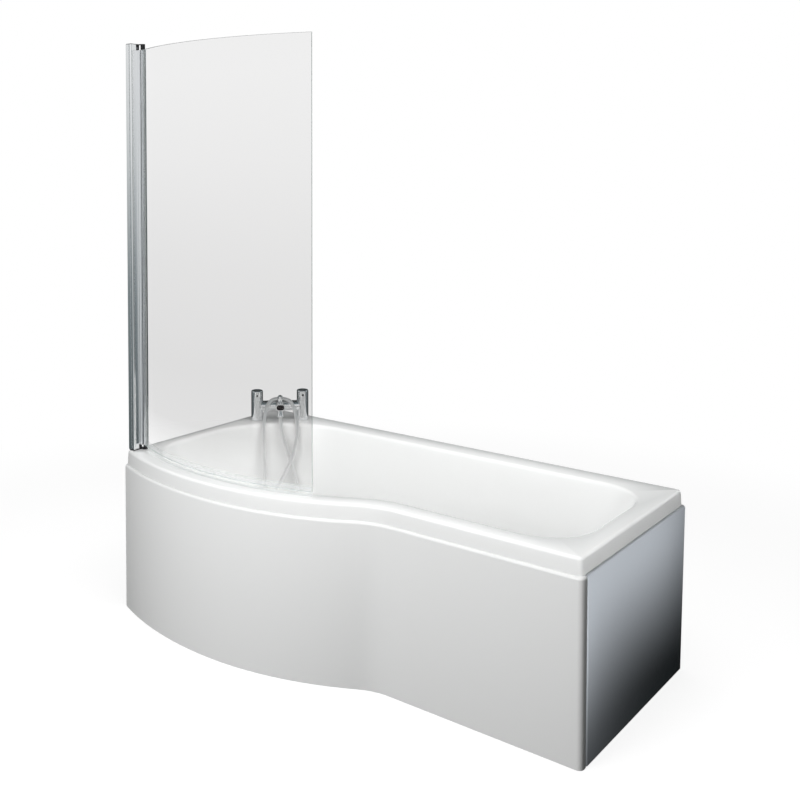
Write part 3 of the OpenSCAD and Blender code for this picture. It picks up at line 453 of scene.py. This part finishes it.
def refine(nodeName, pieceName, finish, angle):
    source = nodes[nodeName]
    onlySelect(source)
    bpy.ops.object.duplicate()
    piece = bpy.context.object
    piece.name = pieceName
    piece.data.name = pieceName
    body = piece["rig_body"]
    piece.parent = None
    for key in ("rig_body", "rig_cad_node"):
        del piece[key]
    onlySelect(piece)
    bpy.ops.mesh.customdata_custom_splitnormals_clear()
    bpy.ops.object.mode_set(mode="EDIT")
    bpy.ops.mesh.select_all(action="SELECT")
    bpy.ops.mesh.remove_doubles(threshold=weldDistance)
    bpy.ops.object.mode_set(mode="OBJECT")
    bpy.ops.object.shade_smooth_by_angle(angle=math.radians(angle))
    giveFinish(piece, finish)
    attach(piece, body)
    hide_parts(nodeName)
    return piece


# node: piece, finish, angle in degrees up to which it is smooth
shownPieces = {
    "bath_shell": ("bathTub", "tubAcrylic", 35),
    "front_panel": ("frontPanel", "panelAcrylic", 35),
    "end_panel": ("endPanel", "endAcrylic", 35),
    "wall_channel": ("wallChannel", "columnChrome", 30),
    "hinge_post": ("hingePost", "columnChrome", 30),
    "hinge_rail": ("hingeRail", "columnChrome", 30),
    "mixer_body": ("mixerBody", "chrome", 32),
    "pillar_left": ("pillarLeft", "chrome", 32),
    "pillar_right": ("pillarRight", "chrome", 32),
    "handle_left": ("handleLeft", "chrome", 32),
    "handle_right": ("handleRight", "chrome", 32),
    "diverter_knob": ("diverterKnob", "chrome", 32),
    "hose_outlet": ("hoseOutlet", "chrome", 32),
    "handset_body": ("handsetBody", "chrome", 32),
    "waste_flange": ("wasteFlange", "chrome", 32),
    "waste_plug": ("wastePlug", "chrome", 32),
    "glass": ("glassSheet", "safetyGlass", 30),
    "bottom_seal": ("bottomSeal", "clearSeal", 30),
    "hinge_seal": ("hingeSeal", "clearSeal", 30),
    "post_cap": ("postCap", "blackPlastic", 32),
    "post_foot": ("postFoot", "blackPlastic", 32),
    "spout_insert": ("spoutInsert", "nozzlePlate", 32),
    "handset_face": ("handsetFace", "nozzlePlate", 32),
}
made = {name: refine(name, *look) for name, look in shownPieces.items()}
print("shown pieces refined", len(made))

# cut edges of the glass: their own greener finish, told by how far a face looks up or sideways
glassEdges = {"up": 0.7, "sideways": 0.75}
glass = made["glass"]
glass.data.materials.append(finishes["glassEdge"])
for face in glass.data.polygons:
    if abs(face.normal.z) > glassEdges["up"] or abs(face.normal.x) > glassEdges["sideways"]:
        face.material_index = 1

for name in ("glass", "bottom_seal", "hinge_seal"):
    made[name].visible_shadow = False  # clear pieces throw none in the photograph

hose.data.materials.append(finishes["hoseMetal"])

# the other CAD nodes keep their own mesh
plainNodes = {
    "hose_nut": "chrome", "hose_end_nut": "chrome",
    "index_left": "blackPlastic", "index_right": "blackPlastic",
    "post_screw": "greyPlastic", "pillar_gaskets": "blackRubber", "pivot_pins": "brushedSteel",
    "spindle_left": "brass", "spindle_right": "brass",
    "cartridge_left": "brass", "cartridge_right": "brass",
    "inlet_tails": "brass", "deck_washers": "blackRubber", "deck_nuts": "brass",
    "diverter_rod": "brushedSteel",
    "baseboard": "chipboard", "rim_battens": "softwood", "panel_battens": "softwood",
    "cradle_shower": "zincSteel", "cradle_middle": "zincSteel", "cradle_foot": "zincSteel",
    "leg_studs": "zincSteel", "leg_nuts": "zincSteel", "leg_pads": "greyPlastic",
    "cradle_screws": "zincSteel", "wall_brackets": "zincSteel",
    "waste_seal": "blackRubber", "waste_nut": "whitePlastic",
    "waste_body": "whitePlastic", "plug_stem": "brushedSteel", "trap_body": "whitePlastic",
    "trap_nut": "whitePlastic",
}
for name, finish in plainNodes.items():
    giveFinish(nodes[name], finish)
left = sorted(set(nodes) - set(plainNodes) - set(shownPieces) - {"hose"})
print("plain nodes dressed", len(plainNodes), "left", left)

# studio: pale floor, white background, soft light
studio = {
    "floorSize": 40.0,
    "floorDrop": 0.0005,
    "floorFade": (1.7, 3.0),
    "floorColor": (0.25, 0.25, 0.25),
    "floorGlow": 0.82,
    "lobes": {
        "above": ((0, 0, 1), 0.42),
        "front": ((0, -1, 0), 0.03),
        "left": ((-1, 0, 0), 0.03),
        "back": ((0, 1, 0), 0.5),
    },
    "footFade": (-0.1, 0.12),
    "lamps": {
        "keyLamp": {
            "place": (-0.05, -2.4, 1.6), "aim": (-0.1, 0, 0.3), "size": (1.0, 1.0), "power": 15},
        "farLamp": {
            "place": (-0.5, -3.9, 1.2), "aim": (-0.3, 0, 0.3), "size": (2.0, 2.0), "power": 70},
        "topLamp": {
            "place": (0.75, 0.1, 3.2), "aim": (0.75, 0.1, 0.3), "size": (2.4, 2.4), "power": 44},
        "fillLamp": {
            "place": (1.6, -1.6, 3.2), "aim": (-0.2, 0, 0.3), "size": (2.4, 2.4), "power": 37},
        "showerEndLamp": {
            "place": (0.6, 0.3, 1.5), "aim": (-0.75, 0.1, 0.4), "size": (1.4, 1.4),
            "power": 2.6, "spread": 60},
        "endLamp": {
            "place": (1.35, -0.12, 0.50), "aim": (0.85, -0.12, 0.50), "size": (1.2, 0.06),
            "power": 0.98, "color": (0.89, 0.94, 1.0), "spread": 84, "only": "end_panel"},
        "rimLamp": {
            "place": (1.35, 0.0, 0.55), "aim": (0.85, 0.0, 0.55), "size": (1.5, 0.06),
            "power": 0.85, "spread": 80, "only": "bath_shell"},
        "endCornerLamp": {
            "place": (1.0, -0.6, 0.30), "aim": (0.85, -0.33, 0.24), "size": (0.08, 0.3),
            "power": 0.27, "color": (0.89, 0.94, 1.0), "spread": 100, "only": "end_panel"},
    },
    "mirrorHeights": [
        (0.0, (0.03, 0.045, 0.05)), (0.34, (0.04, 0.06, 0.065)), (0.46, (0.27, 0.31, 0.32)),
        (0.53, (0.80, 0.82, 0.82)), (0.58, (1.0, 1.0, 1.0)), (0.68, (1.0, 1.0, 1.0)),
        (0.78, (0.30, 0.36, 0.38)), (0.92, (0.05, 0.09, 0.10)), (1.0, (0.04, 0.07, 0.08)),
    ],
    "mirrorBearings": [
        (0.0, (0.08, 0.12, 0.13)), (0.05, (0.30, 0.34, 0.35)), (0.10, (0.84, 0.85, 0.85)),
        (0.16, (0.88, 0.89, 0.89)), (0.20, (1, 1, 1)), (0.40, (1, 1, 1)), (0.47, (0.5, 0.54, 0.55)),
        (0.53, (0.25, 0.30, 0.31)), (0.59, (0.85, 0.86, 0.86)), (0.64, (0.9, 0.91, 0.91)),
        (0.70, (0.16, 0.21, 0.22)), (0.78, (0.02, 0.04, 0.045)), (0.92, (0.02, 0.04, 0.045)),
    ],
    "frontGap": {"toward": (0.69, -0.69, 0.0), "edge": (0.80, 0.97), "open": 0.7},
    "screenDistance": 30.0,
    "screenFaces": (48, 24),
}


def bareMaterial(name):
    material = bpy.data.materials.new(name)
    material.use_nodes = True
    material.node_tree.nodes.clear()
    return material, material.node_tree


def addFloor(s):
    bpy.ops.object.select_all(action="DESELECT")
    bpy.ops.mesh.primitive_plane_add(size=s["floorSize"], location=(0, 0, -s["floorDrop"]))
    floor = bpy.context.object
    floor.name = "studioFloor"
    material, tree = bareMaterial("studioFloor")
    out = addNode(tree, "ShaderNodeOutputMaterial")
    matt = addNode(tree, "ShaderNodeBsdfDiffuse", Color=(*s["floorColor"], 1))
    glow = addNode(tree, "ShaderNodeEmission", Strength=s["floorGlow"])
    both = addNode(tree, "ShaderNodeAddShader")
    tree.links.new(matt.outputs[0], both.inputs[0])
    tree.links.new(glow.outputs[0], both.inputs[1])
    # beyond the shadow the floor turns into plain white backdrop
    place = addNode(tree, "ShaderNodeTexCoord")
    distance = addNode(tree, "ShaderNodeVectorMath", operation="LENGTH")
    tree.links.new(place.outputs["Object"], distance.inputs[0])
    plain = addNode(tree, "ShaderNodeEmission", Strength=1.0)
    whole = addNode(tree, "ShaderNodeMixShader")
    fade = addSpan(tree, distance.outputs["Value"], s["floorFade"], shape="SMOOTHSTEP")
    tree.links.new(fade, whole.inputs[0])
    tree.links.new(both.outputs[0], whole.inputs[1])
    tree.links.new(plain.outputs[0], whole.inputs[2])
    tree.links.new(whole.outputs[0], out.inputs[0])
    floor.data.materials.append(material)
    floor.visible_diffuse = False  # so its glow puts no light on the object
    floor.visible_glossy = False


def addLamp(name, look):
    bpy.ops.object.light_add(type="AREA", location=look["place"])
    lamp = bpy.context.object
    lamp.name = name
    lamp.data.shape = "RECTANGLE"
    lamp.data.size, lamp.data.size_y = look["size"]
    lamp.data.energy = look["power"]
    lamp.data.color = look.get("color", (1, 1, 1))
    lamp.data.spread = math.radians(look.get("spread", 180))
    lamp.rotation_mode = "QUATERNION"
    gaze = Vector(look["aim"]) - Vector(look["place"])
    lamp.rotation_quaternion = gaze.to_track_quat("-Z", "Y")
    lamp.visible_glossy = False
    lamp.visible_camera = False
    return lamp


def linkLight(lamp, piece, state):
    # the lamp lights only this piece (INCLUDE) or all but it (EXCLUDE)
    group = bpy.data.collections.new(lamp.name + "Group")
    group.objects.link(piece)
    group.collection_objects[0].light_linking.link_state = state
    lamp.light_linking.receiver_collection = group


def addLobes(tree, direction, lobes, footFade):
    # soft light: one smooth lobe round each direction, summed
    total = None
    for axis, weight in lobes.values():
        along = addNode(tree, "ShaderNodeVectorMath", operation="DOT_PRODUCT")
        along.inputs[1].default_value = axis
        tree.links.new(direction, along.inputs[0])
        lobe = addSpan(tree, along.outputs["Value"], toSpan=(0.0, weight), shape="SMOOTHSTEP")
        total = lobe if total is None else addMath(tree, "ADD", total, lobe)
    # none of it from the foot end, so the end panel falls into shade
    keep = addSpan(tree, splitUp(tree, direction)[0], footFade, (1.0, 0.0), "SMOOTHSTEP")
    return addMath(tree, "MULTIPLY", total, keep)


def addMirrorView(tree, direction, s):
    # how much of the white comes through: bands by height times bands by bearing
    across, along, up = splitUp(tree, direction)
    rise = addNode(tree, "ShaderNodeValToRGB")
    fillRamp(rise, s["mirrorHeights"])
    tree.links.new(addSpan(tree, up, (-1.0, 1.0)), rise.inputs[0])
    bearing = addMath(tree, "ARCTAN2", along, across)
    uprights = addNode(tree, "ShaderNodeValToRGB")
    fillRamp(uprights, s["mirrorBearings"])
    tree.links.new(addSpan(tree, bearing, (-math.pi, math.pi)), uprights.inputs[0])
    both = addNode(tree, "ShaderNodeMix", data_type="RGBA", blend_type="MULTIPLY")
    both.inputs["Factor"].default_value = 1.0
    # a Mix node's colours are its inputs 6 and 7 and its output 2
    tree.links.new(rise.outputs[0], both.inputs[6])
    tree.links.new(uprights.outputs[0], both.inputs[7])
    # a gap in front: the light core of pillars, hose and nuts
    gap = s["frontGap"]
    facing = addNode(tree, "ShaderNodeVectorMath", operation="DOT_PRODUCT")
    facing.inputs[1].default_value = gap["toward"]
    tree.links.new(direction, facing.inputs[0])
    inside = addSpan(
        tree, facing.outputs["Value"], gap["edge"], (0.0, gap["open"]), "SMOOTHSTEP")
    lit = addNode(tree, "ShaderNodeMix", data_type="RGBA", blend_type="MIX")
    tree.links.new(inside, lit.inputs["Factor"])
    tree.links.new(both.outputs[2], lit.inputs[6])
    lit.inputs[7].default_value = (1, 1, 1, 1)
    return lit.outputs[2]


def addSky(s):
    world = bpy.data.worlds.new("studioSky")
    bpy.context.scene.world = world
    world.use_nodes = True
    tree = world.node_tree
    tree.nodes.clear()
    out = addNode(tree, "ShaderNodeOutputWorld")
    place = addNode(tree, "ShaderNodeTexCoord")
    direction = place.outputs["Generated"]
    softSky = addNode(tree, "ShaderNodeBackground", Color=(1, 1, 1, 1))
    light = addLobes(tree, direction, s["lobes"], s["footFade"])
    tree.links.new(light, softSky.inputs["Strength"])
    whiteSky = addNode(tree, "ShaderNodeBackground", Color=(1, 1, 1, 1), Strength=1.0)
    # camera, glass and metal see the white background
    path = addNode(tree, "ShaderNodeLightPath")
    seen = path.outputs["Is Camera Ray"]
    for ray in ("Is Transmission Ray", "Is Glossy Ray"):
        seen = addMath(tree, "MAXIMUM", seen, path.outputs[ray])
    whole = addNode(tree, "ShaderNodeMixShader")
    tree.links.new(seen, whole.inputs[0])
    tree.links.new(softSky.outputs[0], whole.inputs[1])
    tree.links.new(whiteSky.outputs[0], whole.inputs[2])
    tree.links.new(whole.outputs[0], out.inputs[0])


def addScreens(s):
    # grey gauze far round the studio: only gloss and chrome see it, and the white through it
    bpy.ops.object.select_all(action="DESELECT")
    segments, rings = s["screenFaces"]
    bpy.ops.mesh.primitive_uv_sphere_add(
        segments=segments, ring_count=rings, radius=s["screenDistance"])
    screens = bpy.context.object
    screens.name = "studioScreens"
    material, tree = bareMaterial("studioScreens")
    out = addNode(tree, "ShaderNodeOutputMaterial")
    place = addNode(tree, "ShaderNodeTexCoord")
    direction = addNode(tree, "ShaderNodeVectorMath", operation="NORMALIZE")
    gauze = addNode(tree, "ShaderNodeBsdfTransparent")
    tree.links.new(place.outputs["Object"], direction.inputs[0])
    tree.links.new(addMirrorView(tree, direction.outputs[0], s), gauze.inputs["Color"])
    tree.links.new(gauze.outputs[0], out.inputs[0])
    screens.data.materials.append(material)
    for kind in ("camera", "diffuse", "transmission", "shadow", "volume_scatter"):
        setattr(screens, "visible_" + kind, False)


addFloor(studio)
for name, look in studio["lamps"].items():
    lamp = addLamp(name, look)
    if "only" in look:
        linkLight(lamp, made[look["only"]], "INCLUDE")
    else:
        linkLight(lamp, made["end_panel"], "EXCLUDE")
addSky(studio)
addScreens(studio)

bpy.context.scene.view_settings.view_transform = "Standard"
print("studio lit")
